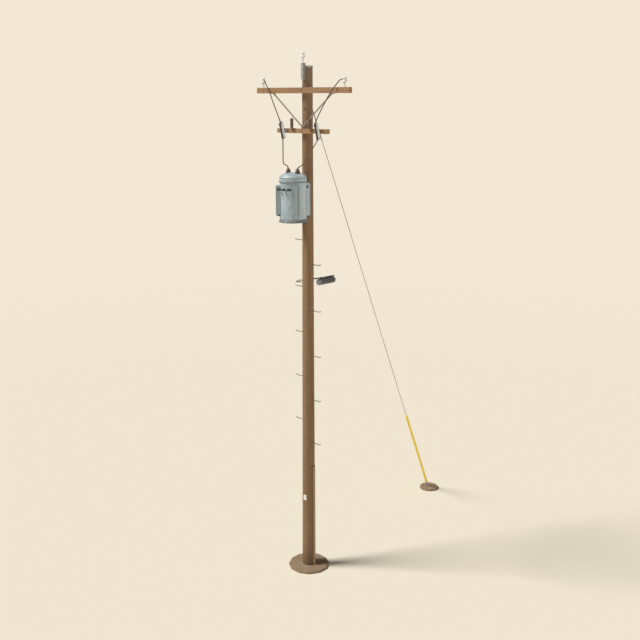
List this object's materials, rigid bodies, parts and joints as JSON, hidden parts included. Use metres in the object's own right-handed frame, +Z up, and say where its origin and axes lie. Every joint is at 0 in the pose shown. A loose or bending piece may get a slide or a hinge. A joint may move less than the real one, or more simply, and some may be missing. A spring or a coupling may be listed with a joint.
{
  "type": "wooden utility pole",
  "caption": "Wooden power pole with crossarms, pin insulators, fused cutouts, arresters, a can transformer, climbing steps, splice closure and a guarded down guy.",
  "frame": {"origin": "middle of the pole's flat butt face at ground level", "axes": "+Z up the pole, +X along the crossarms, -Y the side that carries the arms and transformer, +Y towards the guy anchor"},
  "size_m": [2.149, 5.7949, 10.326],
  "materials": {
    "pole_timber": "pressure-treated brown timber, weathered, dry and matte",
    "arm_timber": "sawn arm timber, lighter brown, matte",
    "guard_timber": "brown half-round ground-wire moulding, matte",
    "galvanised": "dull galvanised steel with light stains",
    "strand_steel": "dull galvanised stranded steel",
    "wire_aluminium": "weathered aluminium wire",
    "tag_aluminium": "pale blank identification plate",
    "porcelain_white": "white glazed porcelain",
    "porcelain_grey": "pale grey glazed porcelain",
    "porcelain_brown": "brown glazed porcelain with a dark foot",
    "polymer_brown": "dark brown arrester housing",
    "fuse_tube": "dark fibre fuse tube with metal ends",
    "tank_paint": "pale blue-grey enamel, chalky, darker at the rims",
    "black_epoxy": "black moulded epoxy",
    "closure_shell": "dark weathered plastic shell with a grey end cap",
    "collar_stone": "packed earth and gravel",
    "guard_yellow": "faded yellow plastic guy guard"
  },
  "bodies": {
    "root": {"anchor_collar": "collar_stone", "anchor_rod": "galvanised", "arrester_brackets": "galvanised", "arrester_left": "polymer_brown", "arrester_right": "polymer_brown", "brace_foot": "galvanised", "brace_left": "galvanised", "brace_right": "galvanised", "bushing_left": "porcelain_brown", "bushing_right": "porcelain_brown", "closure_strand": "strand_steel", "cutout_brackets": "galvanised", "cutout_castings": "galvanised", "cutout_insulator_left": "porcelain_grey", "cutout_insulator_right": "porcelain_grey", "ground_collar": "collar_stone", "guy_attachment": "galvanised", "guy_guard": "guard_yellow", "guy_wire": "strand_steel", "insulator_left": "porcelain_white", "insulator_pins": "galvanised", "insulator_right": "porcelain_white", "jumper_lower_left": "wire_aluminium", "jumper_lower_right": "wire_aluminium", "jumper_upper_left": "wire_aluminium", "jumper_upper_right": "wire_aluminium", "low_voltage_bushings": "black_epoxy", "lower_crossarm": "arm_timber", "messenger_clamp": "galvanised", "pole": "pole_timber", "pole_cap": "galvanised", "pole_tag": "tag_aluminium", "pole_top_bracket": "galvanised", "splice_closure": "closure_shell", "steps_left": "galvanised", "steps_right": "galvanised", "top_insulator": "porcelain_white", "top_pin": "galvanised", "transformer_base_rim": "tank_paint", "transformer_hangers": "galvanised", "transformer_lid": "tank_paint", "transformer_lid_band": "tank_paint", "transformer_radiators": "tank_paint", "transformer_tank": "tank_paint", "upper_crossarm": "arm_timber", "wire_guard": "guard_timber"},
    "fuse_left": {"fuse_tube_left": "fuse_tube"},
    "fuse_right": {"fuse_tube_right": "fuse_tube"}
  },
  "joints": [
    {"name": "fuse_left_drop", "type": "hinge", "parent": "root", "child": "fuse_left", "pos_m": [-0.411, -0.23262, 8.78191], "axis": [1, 0, 0], "range_deg": [0, 150]},
    {"name": "fuse_right_drop", "type": "hinge", "parent": "root", "child": "fuse_right", "pos_m": [0.411, -0.23262, 8.78191], "axis": [1, 0, 0], "range_deg": [0, 150]}
  ]
}
